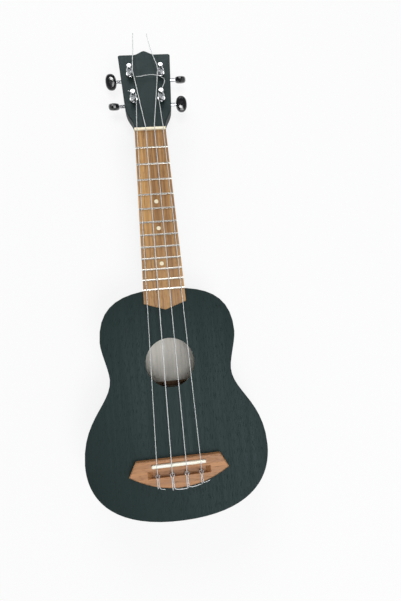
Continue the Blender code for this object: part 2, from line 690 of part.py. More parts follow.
def build_bridge():
    """The bridge: a slab with a saddle slot, a channel and a drilled tie block, and the saddle."""
    tip = (BRIDGE_TIP_HALF, BRIDGE_TIP_Y)
    corner = (BRIDGE_FRONT_HALF, BRIDGE_FRONT_Y)
    front = rounded_corner(tip, corner, (0.0, BRIDGE_FRONT_Y), BRIDGE_CORNER)
    rear_steps = 18
    rear = [(BRIDGE_TIP_HALF * (2 * step / rear_steps - 1), 0.0) for step in range(1, rear_steps)]
    rear = [(x, bridge_rear(x)) for x, _ in rear]
    outline = [(-BRIDGE_TIP_HALF, BRIDGE_TIP_Y)] + rear + [tip] + front + [(-x, y) for x, y in reversed(front)]
    bridge = add_object("bridge", slab(outline, BRIDGE_BOTTOM, BRIDGE_TOP, 0.0, BRIDGE_EDGE), "bridge_wood")
    above = BRIDGE_TOP + BRIDGE_HEIGHT
    slot_x = SADDLE_LENGTH / 2 + SEAT_GAP
    slot_y = SADDLE_THICKNESS / 2 + SEAT_GAP
    slot = block((-slot_x, SADDLE_Y - slot_y, BRIDGE_TOP - SADDLE_SLOT_DEPTH), (slot_x, SADDLE_Y + slot_y, above))
    floor = BRIDGE_BOTTOM + CHANNEL_FLOOR
    climb = CHANNEL_RAMP * (above - floor) / (BRIDGE_TOP - floor)
    channel = [(-CHANNEL_HALF, floor), (CHANNEL_HALF, floor), (CHANNEL_HALF + climb, above),
               (-CHANNEL_HALF - climb, above)]
    groove = loft([[(x, y, z) for x, z in channel] for y in (CHANNEL_REAR_Y, CHANNEL_FRONT_Y)])
    cuts = [slot, groove]
    for name in STRING_NAMES:
        x = string_x(name, STRING_SPREAD_AT_SADDLE)
        hole = turned([(TIE_HOLE_RADIUS, 0.0), (TIE_HOLE_RADIUS, CHANNEL_REAR_Y - BRIDGE_REAR_Y + 0.004)], 10)
        bmesh.ops.rotate(hole, verts=hole.verts, matrix=Matrix.Rotation(math.radians(90), 3, "X"))
        bmesh.ops.translate(hole, verts=hole.verts, vec=(x, CHANNEL_REAR_Y + 0.002, TIE_HOLE_Z))
        cuts.append(hole)
    for cut, name in zip((gather(cuts[:2]), gather(cuts[2:])), ("bridge_cutter", "tie_hole_cutter")):
        combine(bridge, add_guide(name, cut), "DIFFERENCE")
    build_saddle()


def build_saddle():
    """The saddle, a thin bar with a rounded crown that stands in the bridge's slot."""
    low = BRIDGE_TOP - SADDLE_SLOT_DEPTH + SEAT_GAP
    half = SADDLE_THICKNESS / 2
    crown = [(half * math.cos(turn), SADDLE_TOP - half * 0.7 + half * 0.7 * math.sin(turn))
             for turn in (math.radians(degree) for degree in (0, 30, 60, 90, 120, 150, 180))]
    profile = crown + [(-half, low), (half, low)]
    rings = []
    for x, share in ((-0.5, 0.72), (-0.485, 0.95), (-0.47, 1.0), (0.47, 1.0), (0.485, 0.95), (0.5, 0.72)):
        middle = (low + SADDLE_TOP) / 2
        rings.append([(x * SADDLE_LENGTH, SADDLE_Y + across * share, middle + (up - middle) * (0.9 + 0.1 * share))
                      for across, up in profile])
    add_object("saddle", loft(rings), "bone")


def head_point(x, s, w):
    """A point of the headstock's frame in the instrument's frame."""
    along = Vector((0, math.cos(HEAD_TILT), -math.sin(HEAD_TILT)))
    out = Vector((0, math.sin(HEAD_TILT), math.cos(HEAD_TILT)))
    return HEAD_ORIGIN + Vector((x, 0, 0)) + along * s + out * w


def gear_profile(turn):
    """The gear's outline at one height, with a gap centred on the worm before the turn."""
    tip = GEAR_PITCH_RADIUS + TOOTH_ADDENDUM
    root = GEAR_PITCH_RADIUS - TOOTH_DEDENDUM
    pitch = 2 * math.pi / GEAR_TEETH
    points = []
    for tooth in range(GEAR_TEETH):
        middle = math.pi / 2 + pitch * (tooth + 0.5) + turn
        for radius, share in ((root, -1.55), (tip, -0.55), (tip, 0.55), (root, 1.55)):
            angle = middle + pitch * TOOTH_SHARE / 2 * share
            points.append((radius * math.cos(angle), radius * math.sin(angle)))
    return points


def build_post(name, head_frame):
    """A string post: its gear, the shaft through the headstock, and the waisted, drilled top."""
    hub = POST_RADIUS + 0.0006
    hole_w = POST_HEIGHT - 0.0043
    profile = [(POST_WAIST_RADIUS, GEAR_LOW - 0.0005), (hub, GEAR_LOW + GEAR_WIDTH / 4),
               (hub, TUNER_PLATE_BOTTOM - RUNNING_GAP), (POST_RADIUS, TUNER_PLATE_BOTTOM - RUNNING_GAP),
               (POST_RADIUS, FLANGE_TOP + 0.0003), (POST_WAIST_RADIUS, FLANGE_TOP + 0.0020),
               (POST_WAIST_RADIUS, hole_w - 0.0010), (POST_CAP_RADIUS, hole_w + 0.0012),
               (POST_CAP_RADIUS, POST_HEIGHT - 0.0005), (POST_CAP_RADIUS - 0.0006, POST_HEIGHT)]
    place = (POST_X[name], POST_S[name], 0)
    post = add_object(f"tuner_{name}_post", turned(profile, POST_STEPS), "chrome", head_frame, place)
    twist = THREAD_LEAD / (2 * math.pi * WORM_PITCH_RADIUS * GEAR_PITCH_RADIUS)
    rings = []
    for w in (GEAR_LOW, WORM_AXIS_W, GEAR_HIGH):
        rings.append([(x, y, w) for x, y in gear_profile(twist * (w - WORM_AXIS_W))])
    combine(post, add_guide(f"gear_{name}_form", loft(rings), head_frame, place), "UNION")
    hole = turned([(POST_HOLE_RADIUS, -POST_RADIUS * 2), (POST_HOLE_RADIUS, POST_RADIUS * 2)], 8)
    combine(post, add_guide(f"post_hole_{name}", hole, head_frame, (place[0], place[1], hole_w), (90, 0, 35)),
            "DIFFERENCE")


def build_bushing(name, head_frame):
    """The flanged bushing that guides the post at the headstock's face."""
    profile = [(BORE_RADIUS, -BUSHING_LENGTH), (BUSHING_BARREL_RADIUS, -BUSHING_LENGTH),
               (BUSHING_BARREL_RADIUS, SEAT_GAP - BUSHING_RECESS),
               (BUSHING_FLANGE_RADIUS, SEAT_GAP - BUSHING_RECESS),
               (BUSHING_FLANGE_RADIUS, FLANGE_TOP - 0.0004), (BUSHING_FLANGE_RADIUS - 0.0005, FLANGE_TOP),
               (BORE_RADIUS, FLANGE_TOP)]
    add_object(f"tuner_{name}_bushing", turned(profile, 14, bored=True), "chrome", head_frame,
               (POST_X[name], POST_S[name], 0))


def build_tuner_plate(name, head_frame):
    """The stamped plate under the headstock, with two ears that carry the worm shaft."""
    half, front, rear = TUNER_PLATE_WIDTH / 2, TUNER_PLATE_FRONT, -TUNER_PLATE_REAR
    corners = [(half, rear), (half, front), (-half, front), (-half, rear)]
    outline = []
    for index, corner in enumerate(corners):
        outline += rounded_corner(corners[index - 1], corner, corners[(index + 1) % 4], TUNER_PLATE_CORNER, 3)
    place = (POST_X[name], POST_S[name], 0)
    plate = add_object(f"tuner_{name}_plate", slab(outline, TUNER_PLATE_BOTTOM, TUNER_PLATE_TOP), "chrome",
                       head_frame, place)
    ears = []
    for side in (-1, 1):
        ear = [(CENTRE_DISTANCE - EAR_HALF_WIDTH, TUNER_PLATE_TOP - TUNER_PLATE_THICKNESS / 2)]
        ear += [(CENTRE_DISTANCE - EAR_HALF_WIDTH * math.cos(turn), WORM_AXIS_W - EAR_HALF_WIDTH * math.sin(turn))
                for turn in (math.pi * step / 8 for step in range(9))]
        ear += [(CENTRE_DISTANCE + EAR_HALF_WIDTH, TUNER_PLATE_TOP - TUNER_PLATE_THICKNESS / 2)]
        ears.append(loft([[(side * x, s, w) for s, w in ear] for x in (EAR_INNER, EAR_OUTER)]))
    for form in ears:
        bmesh.ops.recalc_face_normals(form, faces=form.faces)
    combine(plate, add_guide(f"ears_{name}_form", gather(ears), head_frame, place), "UNION")
    shaft = turned([(JOURNAL_RADIUS + RUNNING_GAP, -EAR_OUTER * 2), (JOURNAL_RADIUS + RUNNING_GAP, EAR_OUTER * 2)], 12)
    bmesh.ops.rotate(shaft, verts=shaft.verts, matrix=Matrix.Rotation(math.radians(90), 3, "Y"))
    bmesh.ops.translate(shaft, verts=shaft.verts, vec=(0, CENTRE_DISTANCE, WORM_AXIS_W))
    cuts = [shaft]
    holes = ((0.0, BORE_RADIUS, 16), (front - 0.0022, PLATE_SCREW_RADIUS, 10), (rear + 0.0022, PLATE_SCREW_RADIUS, 10))
    for s, radius, steps in holes:
        low, high = TUNER_PLATE_BOTTOM - 0.0005, TUNER_PLATE_TOP + 0.0005
        hole = turned([(radius, low), (radius, high)], steps)
        bmesh.ops.translate(hole, verts=hole.verts, vec=(0, s, 0))
        cuts.append(hole)
    for index, cut in enumerate(cuts):
        combine(plate, add_guide(f"plate_{name}_cutter_{index}", cut, head_frame, place), "DIFFERENCE")


def worm_thread():
    """One start of right-hand thread about X, faded into the core at both ends."""
    steps = round(THREAD_TURNS * THREAD_STEPS)
    bury = 0.0002
    fade_steps = 3
    share = THREAD_LEAD * THREAD_SHARE / 2
    rings = []
    for step in range(steps + 1):
        angle = math.pi + 2 * math.pi * (step - steps / 2) / THREAD_STEPS
        along = THREAD_LEAD * (angle - math.pi) / (2 * math.pi)
        fade = min(1.0, step / fade_steps, (steps - step) / fade_steps)
        root = WORM_CORE_RADIUS - bury
        crest = root + bury / 2 + (WORM_RADIUS - root - bury / 2) * fade
        section = ((-share * 1.6, root), (-share * 0.55, crest), (share * 0.55, crest), (share * 1.6, root))
        rings.append([(along + offset, radius * math.cos(angle), radius * math.sin(angle))
                      for offset, radius in section])
    return loft(rings)


def build_worm(name, head_frame):
    """The worm shaft: thread, journals in the ears, and the stem out to the button."""
    outward = 1 if POST_X[name] > 0 else -1
    core_end = EAR_INNER - RUNNING_GAP
    profile = [(JOURNAL_RADIUS, -EAR_OUTER - 0.0006), (JOURNAL_RADIUS, -core_end), (WORM_CORE_RADIUS, -core_end),
               (WORM_CORE_RADIUS, core_end), (JOURNAL_RADIUS, core_end), (JOURNAL_RADIUS, EAR_OUTER + RUNNING_GAP),
               (STEM_RADIUS, EAR_OUTER + RUNNING_GAP), (STEM_RADIUS, STEM_END), (JOURNAL_RADIUS, STEM_END),
               (JOURNAL_RADIUS, STEM_TIP)]
    shaft = turned(profile, 12)
    bmesh.ops.rotate(shaft, verts=shaft.verts, matrix=Matrix.Rotation(math.radians(90 * outward), 3, "Y"))
    place = (POST_X[name], POST_S[name] + CENTRE_DISTANCE, WORM_AXIS_W)
    worm = add_object(f"tuner_{name}_worm_shaft", shaft, "chrome", head_frame, place)
    combine(worm, add_guide(f"thread_{name}_form", worm_thread(), head_frame, place), "UNION")


def build_button(name, head_frame):
    """The oval button on the end of its worm shaft."""
    outward = 1 if POST_X[name] > 0 else -1
    start = STEM_END + RUNNING_GAP
    middle = start + BUTTON_LENGTH / 2
    rings = []
    for height, share in ((-0.5, 0.30), (-0.47, 0.60), (-0.38, 0.86), (-0.16, 0.99),
                          (0.16, 0.99), (0.38, 0.86), (0.47, 0.60), (0.5, 0.30)):
        ring = []
        for step in range(BUTTON_STEPS):
            angle = 2 * math.pi * step / BUTTON_STEPS
            squared = 0.86
            along = math.copysign(abs(math.cos(angle)) ** squared, math.cos(angle)) * BUTTON_LENGTH / 2
            across = math.copysign(abs(math.sin(angle)) ** squared, math.sin(angle)) * BUTTON_WIDTH / 2
            ring.append((outward * (middle + along * share), across * share, height * BUTTON_THICKNESS))
        rings.append(ring)
    place = (POST_X[name], POST_S[name] + CENTRE_DISTANCE, WORM_AXIS_W)
    turn = (BUTTON_TURN[name], 0, 0)
    button = add_object(f"tuner_{name}_button", loft(rings), "black_button", head_frame, place, turn)
    bore = turned([(JOURNAL_RADIUS + SEAT_GAP, 0.0), (JOURNAL_RADIUS + SEAT_GAP, STEM_TIP + SEAT_GAP)], 12)
    bmesh.ops.rotate(bore, verts=bore.verts, matrix=Matrix.Rotation(math.radians(90 * outward), 3, "Y"))
    combine(button, add_guide(f"button_{name}_cutter", bore, head_frame, place), "DIFFERENCE")


def smooth_route(points, steps=4):
    """Points of a smooth curve through a route's own points."""
    points = [Vector(point) for point in points]
    ends = [points[0] * 2 - points[1]] + points + [points[-1] * 2 - points[-2]]
    route = []
    for before, start, end, after in zip(ends, ends[1:], ends[2:], ends[3:]):
        for step in range(steps):
            t = step / steps
            route.append(0.5 * (2 * start + (end - before) * t
                                + (2 * before - 5 * start + 4 * end - after) * t ** 2
                                + (3 * start - before - 3 * end + after) * t ** 3))
    return route + [points[-1]]


# Free ends of the strings past their posts, in the headstock's frame
STRING_TAILS = {
    "g": ((-0.0176, 0.0434, 0.0078), (-0.0205, 0.0440, 0.0080)),
    "c": ((-0.0135, 0.0810, 0.0076), (-0.0129, 0.0900, 0.0080), (-0.0120, 0.1000, 0.0083),
          (-0.0112, 0.1130, 0.0083), (-0.0105, 0.1255, 0.0080)),
    "e": ((0.0133, 0.0800, 0.0078), (0.0105, 0.0900, 0.0085), (0.0079, 0.1020, 0.0088),
          (0.0060, 0.1140, 0.0086), (0.0048, 0.1250, 0.0080)),
    "a": ((0.0171, 0.0465, 0.0082), (0.0198, 0.0540, 0.0070), (0.0207, 0.0600, 0.0054),
          (0.0186, 0.0648, 0.0040), (0.0150, 0.0682, 0.0030), (0.0112, 0.0698, 0.0027),
          (0.0070, 0.0702, 0.0030), (0.0028, 0.0696, 0.0034), (-0.0020, 0.0686, 0.0036),
          (-0.0066, 0.0680, 0.0033), (-0.0107, 0.0684, 0.0030)),
}
TAIL_TURNS = {"g": 2.2, "c": 2.0, "e": 2.0, "a": 2.12}
TAIL_ALONG_BRIDGE = {"g": 0.0055, "c": 0.0125, "e": 0.0122, "a": 0.0072}


def knot_route(name):
    """A string's bridge end: its free tail, back and forth over the tie block, and through its hole."""
    x = string_x(name, STRING_SPREAD_AT_SADDLE)
    radius = STRING_DIAMETERS[name] / 2
    clear = SEAT_GAP + radius
    part = radius + WINDING_SPARE / 2 + 0.0001
    ring = 2 * radius + WINDING_SPARE * 2.3
    rear = bridge_rear(x)
    top = BRIDGE_TOP + clear
    tail = TAIL_ALONG_BRIDGE[name]
    far = x + part + tail
    incoming = incoming_z(name, CHANNEL_REAR_Y + 0.0024)
    return smooth_route([
        (far, bridge_rear(far) - clear - 0.0007, BRIDGE_TOP - 0.0004),
        (x + part + tail * 0.6, bridge_rear(x + part + tail * 0.6) - clear - 0.0005, BRIDGE_TOP),
        (x + part + tail * 0.25, bridge_rear(x + part + tail * 0.25) - clear - 0.0001, BRIDGE_TOP + 0.0005),
        (x + part + 0.0005, rear + 0.0004, top + 0.0003),
        (x + part, rear + 0.0030, top),
        (x + part, CHANNEL_REAR_Y - 0.0010, top),
        (x + ring * 0.95, CHANNEL_REAR_Y + 0.0014, incoming + 0.0009),
        (x + ring * 0.75, CHANNEL_REAR_Y + 0.0023, incoming - ring * 0.55),
        (x, CHANNEL_REAR_Y + 0.0024, incoming - ring),
        (x - ring * 0.75, CHANNEL_REAR_Y + 0.0023, incoming - ring * 0.55),
        (x - ring * 0.95, CHANNEL_REAR_Y + 0.0014, incoming + 0.0009),
        (x - part, CHANNEL_REAR_Y - 0.0010, top),
        (x - part, rear + 0.0030, top),
        (x - part * 0.9, rear + 0.0006, top + 0.0003),
        (x - part * 0.6, rear - clear - 0.0010, BRIDGE_TOP - 0.0010),
        (x - part * 0.2, rear - clear - 0.0010, TIE_HOLE_Z + 0.0012),
        (x, rear - clear - 0.0002, TIE_HOLE_Z + 0.0001),
        (x, rear + 0.0015, TIE_HOLE_Z),
    ], 3)


def incoming_z(name, y):
    """The height of a string's straight run between its tie hole and the saddle."""
    top = SADDLE_TOP + SEAT_GAP + STRING_DIAMETERS[name] / 2
    start = CHANNEL_REAR_Y + TIE_HOLE_LEAD
    return TIE_HOLE_Z + (top - TIE_HOLE_Z) * (y - start) / (SADDLE_Y - start)


def winding_route(name, arrival):
    """A string's turns round its post and its free tail, from where it leaves the nut."""
    radius = STRING_DIAMETERS[name] / 2
    reach = POST_WAIST_RADIUS + WINDING_SPARE + radius
    pitch = 2 * radius + WINDING_SPARE
    sense = 1 if POST_X[name] < 0 else -1
    away = Vector((arrival[0] - POST_X[name], arrival[1] - POST_S[name]))
    start = math.atan2(away.y, away.x) + sense * math.acos(reach / away.length)
    full = sense * TAIL_TURNS[name] * 2 * math.pi
    home = 0.0 if sense > 0 else math.pi
    end = home + full
    start += 2 * math.pi * round((home - start) / (2 * math.pi))
    steps = round(abs(end - start) / (2 * math.pi) * WINDING_STEPS)
    low = FLANGE_TOP + 0.0020 + WINDING_SPARE + radius
    points = []
    for step in range(steps + 1):
        angle = start + (end - start) * step / steps
        rise = pitch * abs(angle - start) / (2 * math.pi)
        points.append((POST_X[name] + reach * math.cos(angle), POST_S[name] + reach * math.sin(angle), low + rise))
    tail = smooth_route([points[-2], points[-1], *STRING_TAILS[name]], 3)
    return points[:-1] + [tuple(point) for point in tail[3:]]


def string_route(name):
    """One string from its tail at the bridge to its tail at the headstock."""
    radius = STRING_DIAMETERS[name] / 2
    saddle_x = string_x(name, STRING_SPREAD_AT_SADDLE)
    nut_x = string_x(name, STRING_SPREAD_AT_NUT)
    saddle_z = SADDLE_TOP + SEAT_GAP + radius
    nut_z = NUT_SLOT_FLOOR + SEAT_GAP + radius
    tilt_out = HEAD_ORIGIN - Vector((nut_x, NUT_BACK_Y, nut_z))
    leave_s = -tilt_out.y * math.cos(HEAD_TILT) + tilt_out.z * math.sin(HEAD_TILT)
    head = [head_point(*point) for point in winding_route(name, (nut_x, leave_s))]
    return knot_route(name) + [
        Vector((saddle_x, CHANNEL_REAR_Y + TIE_HOLE_LEAD, TIE_HOLE_Z)),
        Vector((saddle_x, SADDLE_Y - 0.0014, saddle_z - 0.0006)),
        Vector((saddle_x, SADDLE_Y - 0.0004, saddle_z)),
        Vector((saddle_x, SADDLE_Y + 0.0006, saddle_z)),
        Vector((nut_x, NUT_Y + 0.0002, nut_z)),
        Vector((nut_x, NUT_BACK_Y - 0.0006, nut_z - 0.0001)),
    ] + head


def least_gap(route, diameter):
    """The least clear distance between parts of a route that lie apart along it."""
    points = np.array([tuple(point) for point in route])
    fine = []
    for start, end in zip(points, points[1:]):
        pieces = max(1, int(np.linalg.norm(end - start) / 0.0003))
        fine.extend(start + (end - start) * step / pieces for step in range(pieces))
    fine = np.array(fine)
    along = np.concatenate(([0.0], np.cumsum(np.linalg.norm(np.diff(fine, axis=0), axis=1))))
    least = math.inf
    for index in range(len(fine)):
        apart = along > along[index] + 4 * diameter
        if apart.any():
            least = min(least, np.linalg.norm(fine[apart] - fine[index], axis=1).min())
    return least - diameter


def build_strings():
    """Four strings, each one unbroken tube from its knot at the bridge to its winding."""
    for name in STRING_NAMES:
        route = string_route(name)
        diameter = STRING_DIAMETERS[name]
        curve = bpy.data.curves.new(f"string_{name}", "CURVE")
        curve.dimensions = "3D"
        curve.bevel_depth = diameter / 2
        curve.bevel_resolution = STRING_SIDES_RESOLUTION
        curve.use_fill_caps = True
        spline = curve.splines.new("POLY")
        spline.points.add(len(route) - 1)
        for point, place in zip(spline.points, route):
            point.co = (*place, 1.0)
        curve.materials.append(finish("clear_nylon"))
        made = bpy.data.objects.new(f"string_{name}", curve)
        bpy.context.collection.objects.link(made)
        length = sum(math.dist(start, end) for start, end in zip(route, route[1:]))
        print(f"string_{name}: {len(route)} points, {length * 1000:.1f} mm long, "
              f"least gap to itself {least_gap(route, diameter) * 1000:.2f} mm")


def main():
    """Build the whole instrument."""
    clear_scene()
    head_frame = bpy.data.objects.new("headstock_frame", None)
    head_frame.location = HEAD_ORIGIN
    head_frame.rotation_euler = Euler((-HEAD_TILT, 0, 0))
    bpy.context.collection.objects.link(head_frame)
    build_plates()
    build_sides()
    build_blocks()
    build_braces()
    build_fretboard()
    build_nut()
    build_neck(head_frame)
    build_bridge()
    for name in STRING_NAMES:
        build_tuner_plate(name, head_frame)
        build_bushing(name, head_frame)
        build_post(name, head_frame)
        build_worm(name, head_frame)
        build_button(name, head_frame)
    build_strings()


main()
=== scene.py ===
"""Finishes, strings, screws and stage of a soprano ukulele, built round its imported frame.

Lengths are in metres and angles in degrees. The instrument lies on its back: +Z is out of the soundboard,
+Y towards the headstock and +X the first string's side.
"""

import math

import bmesh
import bpy
from bpy.props import FloatProperty, FloatVectorProperty, IntProperty, PointerProperty
from bpy.types import Operator, Panel, PropertyGroup
from mathutils import Euler, Matrix, Vector


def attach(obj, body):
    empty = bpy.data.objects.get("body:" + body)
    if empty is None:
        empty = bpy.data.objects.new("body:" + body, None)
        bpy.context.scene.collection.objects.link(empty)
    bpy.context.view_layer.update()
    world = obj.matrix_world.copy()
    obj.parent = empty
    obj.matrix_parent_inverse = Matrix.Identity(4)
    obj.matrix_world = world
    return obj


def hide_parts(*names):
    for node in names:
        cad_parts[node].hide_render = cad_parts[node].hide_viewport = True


bl_info = {
    "name": "Soprano Ukulele",
    "version": (1, 0, 0),
    "blender": (4, 5, 0),
    "location": "View3D > Sidebar > Ukulele",
    "description": "Finishes, strings, screws and stage of a soprano ukulele",
    "category": "Object",
}

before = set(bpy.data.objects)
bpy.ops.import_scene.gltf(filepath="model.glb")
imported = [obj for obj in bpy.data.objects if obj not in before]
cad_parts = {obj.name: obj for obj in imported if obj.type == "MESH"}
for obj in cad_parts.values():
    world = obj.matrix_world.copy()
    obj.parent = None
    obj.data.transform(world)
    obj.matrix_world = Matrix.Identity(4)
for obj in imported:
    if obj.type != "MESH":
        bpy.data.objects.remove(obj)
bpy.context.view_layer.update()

# Strings, from the nut to the saddle
NAMES = ("g", "c", "e", "a")
STRING_DIAMETERS = {"g": 0.00070, "c": 0.00092, "e": 0.00082, "a": 0.00070}
SPREAD_AT_NUT = 0.028
SPREAD_AT_SADDLE = 0.0433
WINDING_SPARE = 0.00050
WINDING_STEPS = 24
SEAT_GAP = 0.0003
NUT_Y = 0.290
NUT_BACK_Y = 0.2935
NUT_SLOT_FLOOR = 0.0665
SADDLE_Y = -0.058
SADDLE_TOP = 0.0712
BRIDGE_TOP = 0.0678
BRIDGE_REAR_Y = -0.0810
BRIDGE_TIP_Y = -0.0662
BRIDGE_TIP_HALF = 0.0496
CHANNEL_REAR_Y = -0.0696
TIE_HOLE_LEAD = 0.0002
TIE_HOLE_Z = 0.0649

# Headstock: its own frame runs up the face (s) and out of it (w)
HEAD_TILT = math.radians(11.58)
HEAD_ORIGIN = Vector((0.0, 0.29401, 0.061))
POST_X = {"g": -0.01527, "c": -0.01726, "e": 0.01726, "a": 0.01527}
POST_S = {"g": 0.0390, "c": 0.0743, "e": 0.0743, "a": 0.0390}
POST_WAIST_RADIUS = 0.00235
FLANGE_TOP = 0.0015
WAIST_OVER_FLANGE = 0.0020
PLATE_BOTTOM_W = -0.0133
PLATE_SCREWS_S = (0.0114, -0.0074)
PLATE_SCREW_SHANK = (0.0011, 0.0010)
GEAR_SCREW_W = -0.0187
GEAR_SCREW_SIZES = (0.0017, 0.0008, 0.0014, 0.0002)
SCREW_STEPS = 48
SCREW_RINGS = 12
SCREW_DOME = 0.45
CROSS_REACH = 0.68
CROSS_HALF_WIDTH = 0.13
SHARP_EDGE = math.radians(35)

STRING_TAILS = {
    "g": ((-0.0176, 0.0434, 0.0078), (-0.0205, 0.0440, 0.0080)),
    "c": ((-0.0135, 0.0810, 0.0076), (-0.0129, 0.0900, 0.0080), (-0.0120, 0.1000, 0.0083),
          (-0.0112, 0.1130, 0.0083), (-0.0105, 0.1255, 0.0080)),
    "e": ((0.0133, 0.0800, 0.0078), (0.0105, 0.0900, 0.0085), (0.0079, 0.1020, 0.0088),
          (0.0060, 0.1140, 0.0086), (0.0048, 0.1250, 0.0080)),
    "a": ((0.0171, 0.0465, 0.0082), (0.0198, 0.0540, 0.0070), (0.0207, 0.0600, 0.0054),
          (0.0186, 0.0648, 0.0040), (0.0150, 0.0682, 0.0030), (0.0112, 0.0698, 0.0027),
          (0.0070, 0.0702, 0.0030), (0.0028, 0.0696, 0.0034), (-0.0020, 0.0686, 0.0036),
          (-0.0066, 0.0680, 0.0033), (-0.0107, 0.0684, 0.0030)),
}
TAIL_TURNS = {"g": 2.2, "c": 2.0, "e": 2.0, "a": 2.12}
TAIL_ALONG_BRIDGE = {"g": 0.0055, "c": 0.0125, "e": 0.0122, "a": 0.0072}

# Camera at the photograph's viewing angle
CAMERA_PLACE = (-0.00280, 0.06144, 0.49830)
CAMERA_TURN = (5.8272, -4.6999, -5.3499)
CAMERA_LENS = 25.16
CAMERA_SENSOR = 36.0
CAMERA_CLIP = (0.01, 40.0)

# Lamps: each one's size, its place and the point that it is aimed at
LAMPS = {
    "head_lamp": (0.9, (-0.15, 1.55, 0.95), (0.0, 0.25, 0.05)),
    "top_lamp": (0.45, (0.0, -0.05, 1.90), (0.0, 0.04, 0.0)),
    "side_lamp": (0.7, (0.35, -0.60, 1.40), (0.06, -0.07, 0.06)),
}
FLOOR_HALF = 9.0
FLOOR_SHOWN = 0.80
SURROUND_LOW = (0.86, 0.87, 0.88, 1.0)
SURROUND_HIGH = (0.08, 0.085, 0.09, 1.0)
SURROUND_HEIGHTS = (0.02, 0.75)

# Wood: noise cells a metre along and across the grain, the noise where a feature starts and is full, bump depths
FIBRE_CELLS = (7.0, 420.0)
FIGURE_CELLS = (5.0, 90.0)
PORE_CELLS = (120.0, 1900.0)
STREAK_SPAN = (0.36, 0.64)
PORE_SPAN = (0.60, 0.68)
OPEN_PORE_DEPTH = 0.00008
FINE_PORE_DEPTH = 0.00006
STAIN_SPECULAR = 0.27
STAIN_SHEEN = (0.72, 0.95, 1.0)
PLAIN_SHEEN = (1.0, 1.0, 1.0)


class Wire:
    """An output socket of numbers. Python's operators on it add Math nodes."""

    def __init__(self, finish, socket):
        self.finish = finish
        self.socket = socket

    def maths(self, operation, *terms):
        """Add one Math node over the terms."""
        return self.finish.add("Math", {"operation": operation}, dict(enumerate(terms)))

    def __add__(self, other):
        return self.maths("ADD", self, other)

    def __sub__(self, other):
        return self.maths("SUBTRACT", self, other)

    def __rsub__(self, other):
        return self.maths("SUBTRACT", other, self)

    def __mul__(self, other):
        return self.maths("MULTIPLY", self, other)

    def __lt__(self, other):
        return self.maths("LESS_THAN", self, other)

    def __gt__(self, other):
        return self.maths("GREATER_THAN", self, other)

    __radd__ = __add__
    __rmul__ = __mul__


class NodeWork:
    """A node tree under construction."""

    def __init__(self, tree):
        self.tree = tree

    def add(self, kind, settings=None, inputs=None, output=0):
        """Add one node: its settings first, then the values or links of its sockets."""
        node = self.tree.nodes.new(f"ShaderNode{kind}")
        for setting, value in (settings or {}).items():
            setattr(node, setting, value)
        for socket, value in (inputs or {}).items():
            self.feed(node.inputs[socket], value)
        return Wire(self, node.outputs[output])

    def feed(self, socket, value):
        """Link a wire to a socket, or set its value."""
        if isinstance(value, Wire):
            self.tree.links.new(value.socket, socket)
        else:
            socket.default_value = value

    def place(self):
        """The place on the piece, in the instrument's frame."""
        return self.add("TexCoord", output="Object")

    def noise(self, scale, detail=3.0, seed=(0.0, 0.0, 0.0)):
        """Noise stretched by a scale along each axis, in cells a metre."""
        stretched = self.add("Mapping", {}, {"Vector": self.place(), "Location": seed, "Scale": scale})
        return self.add("TexNoise", {}, {"Vector": stretched, "Scale": 1.0, "Detail": detail}, "Fac")

    def between(self, value, low, high):
        """Spread a value's span from low to high over 0 to 1, held at both ends."""
        return self.add("MapRange", {}, {"Value": value, "From Min": low, "From Max": high})

    def blend(self, share, first, second):
        """Mix two colours."""
        return self.add("Mix", {"data_type": "RGBA"}, {0: share, 6: first, 7: second}, 2)


class Finish(NodeWork):
    """A procedural material under construction."""

    def __init__(self, name, constants):
        self.material = bpy.data.materials.new(name)
        self.material.use_nodes = True
        super().__init__(self.material.node_tree)
        self.shader = self.tree.nodes["Principled BSDF"]
        for socket, value in constants.items():
            self.shader.inputs[socket].default_value = value

    def bump(self, height, distance):
        """Feed a height, in shares of a distance, to the surface's normal."""
        bumped = self.add("Bump", {}, {"Height": height, "Distance": distance, "Strength": 1.0}, "Normal")
        self.feed(self.shader.inputs["Normal"], bumped)

    def surface(self, colour, roughness):
        """Feed the surface's colour and roughness, and return the finished material."""
        self.feed(self.shader.inputs["Base Color"], colour)
        self.feed(self.shader.inputs["Roughness"], roughness)
        return self.material


def opaque(colour):
    """A colour property as four numbers."""
    return (*colour, 1.0)


def along_axis(axis, along, across):
    """A noise scale that is fine across a grain and coarse along it."""
    return tuple(along if index == axis else across for index in range(3))


def wood(name, light, dark, axis, roughness, pore_share, pore_depth, pore=None, bare=None, inside=None,
         specular=0.5, sheen=PLAIN_SHEEN):
    """Wood with fibres and open pores along one axis; where inside says, it is bare instead."""
    finish = Finish(name, {"Specular IOR Level": specular, "Specular Tint": opaque(sheen)})
    fibre = finish.noise(along_axis(axis, *FIBRE_CELLS), 4.0)
    figure = finish.noise(along_axis(axis, *FIGURE_CELLS), 2.0, (3.1, 1.7, 0.4))
    pores = finish.between(finish.noise(along_axis(axis, *PORE_CELLS), 2.0), *PORE_SPAN)
    streaks = finish.between(fibre * 0.6 + figure * 0.4, *STREAK_SPAN)
    colour = finish.blend(streaks, opaque(dark), opaque(light))
    colour = finish.blend(pores * pore_share, colour, opaque(pore or [value * 0.35 for value in dark]))
    rough = roughness + streaks * 0.10 + pores * 0.15
    if inside:
        mask = inside(finish)
        pale = finish.blend(streaks, opaque([value * 0.84 for value in bare]), opaque(bare))
        colour = finish.blend(mask, colour, pale)
        rough = rough + mask * 0.15
    finish.bump(streaks * 0.35 + (1.0 - pores), pore_depth)
    return finish.surface(colour, rough)


def facing(finish, axis, sign):
    """1 where the surface faces one way along an axis."""
    normal = finish.add("TexCoord", output="Normal")
    split = finish.add("SeparateXYZ", {}, {"Vector": normal}, axis)
    return split * sign > 0.5


